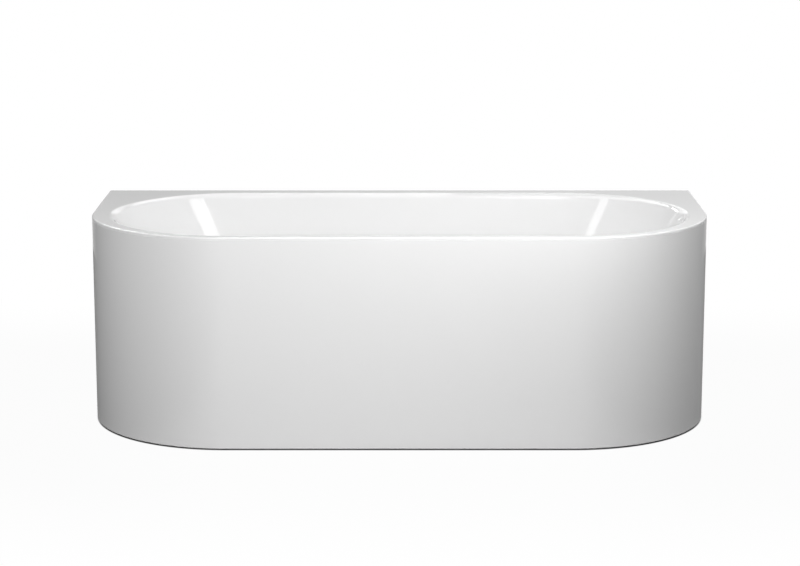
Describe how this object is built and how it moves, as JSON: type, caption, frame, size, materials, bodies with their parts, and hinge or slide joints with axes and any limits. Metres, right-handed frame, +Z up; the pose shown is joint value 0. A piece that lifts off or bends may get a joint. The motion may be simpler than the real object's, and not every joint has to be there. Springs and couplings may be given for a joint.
{
  "type": "bathtub",
  "caption": "Back-to-wall bathtub with round front corners, a seamless skirt, an oblong basin, levelling feet, and a turning knob that lifts the waste plug.",
  "frame": {"origin": "on the floor, under the middle of the plan", "axes": "+X along the wall, +Y towards the wall, +Z up"},
  "size_m": [1.8, 0.8, 0.609],
  "materials": {
    "white_enamel": "glossy vitreous enamel on pressed steel",
    "galvanised_steel": "galvanised, matt grey",
    "zinc_fastener": "bright zinc plating",
    "black_rubber": "matt black rubber",
    "bitumen": "matt bitumen sheet",
    "chrome": "polished chrome plating",
    "white_plastic": "white moulded polypropylene",
    "grey_plastic": "dark grey moulded polypropylene",
    "black_plastic": "black moulded plastic"
  },
  "bodies": {
    "tub": {"basin": "white_enamel", "skirt": "white_enamel", "rim_bond_strip": "black_rubber", "rail_left": "galvanised_steel", "rail_right": "galvanised_steel", "rear_beam": "galvanised_steel", "tie_left": "galvanised_steel", "tie_right": "galvanised_steel", "frame_screws": "zinc_fastener", "stud_nuts": "zinc_fastener", "floor_pads": "black_rubber", "sound_mats": "bitumen", "earth_tag": "galvanised_steel", "weld_nuts": "zinc_fastener", "lock_nuts": "zinc_fastener", "waste_flange": "chrome", "waste_seal": "black_rubber", "waste_body": "white_plastic", "trap_body": "white_plastic", "trap_cup": "white_plastic", "trap_nut": "grey_plastic", "outlet_nut": "grey_plastic", "outlet_pipe": "white_plastic", "overflow_seal": "black_rubber", "overflow_body": "white_plastic", "overflow_plate": "chrome", "overflow_screws": "zinc_fastener", "overflow_pipe": "white_plastic", "overflow_nut": "grey_plastic", "control_cable": "black_plastic"},
    "knob": {"overflow_knob": "chrome", "knob_spindle": "zinc_fastener"},
    "plug": {"waste_plug": "chrome", "plug_seal": "black_rubber", "lift_pin": "zinc_fastener"},
    "foot_front_left": {"foot_rod_front_left": "zinc_fastener", "foot_pad_front_left": "black_plastic"},
    "foot_front_right": {"foot_rod_front_right": "zinc_fastener", "foot_pad_front_right": "black_plastic"},
    "foot_rear_left": {"foot_rod_rear_left": "zinc_fastener", "foot_pad_rear_left": "black_plastic"},
    "foot_rear_right": {"foot_rod_rear_right": "zinc_fastener", "foot_pad_rear_right": "black_plastic"}
  },
  "joints": [
    {"name": "knob_turn", "type": "hinge", "parent": "tub", "child": "knob", "pos_m": [0, -0.33516, 0.514], "axis": [0, 0.9723, 0.2338], "range_deg": [0, 90]},
    {"name": "plug_lift", "type": "slide", "parent": "tub", "child": "plug", "axis": [0, 0, 1], "range_m": [0, 0.0101]},
    {"name": "foot_front_left_level", "type": "slide", "parent": "tub", "child": "foot_front_left", "axis": [0, 0, 1], "range_m": [-0.02, 0.005]},
    {"name": "foot_front_right_level", "type": "slide", "parent": "tub", "child": "foot_front_right", "axis": [0, 0, 1], "range_m": [-0.02, 0.005]},
    {"name": "foot_rear_left_level", "type": "slide", "parent": "tub", "child": "foot_rear_left", "axis": [0, 0, 1], "range_m": [-0.02, 0.005]},
    {"name": "foot_rear_right_level", "type": "slide", "parent": "tub", "child": "foot_rear_right", "axis": [0, 0, 1], "range_m": [-0.02, 0.005]}
  ],
  "couplings": [
    {"joint": "plug_lift", "follows": "knob_turn", "m_per_rad": 0.0063662}
  ]
}
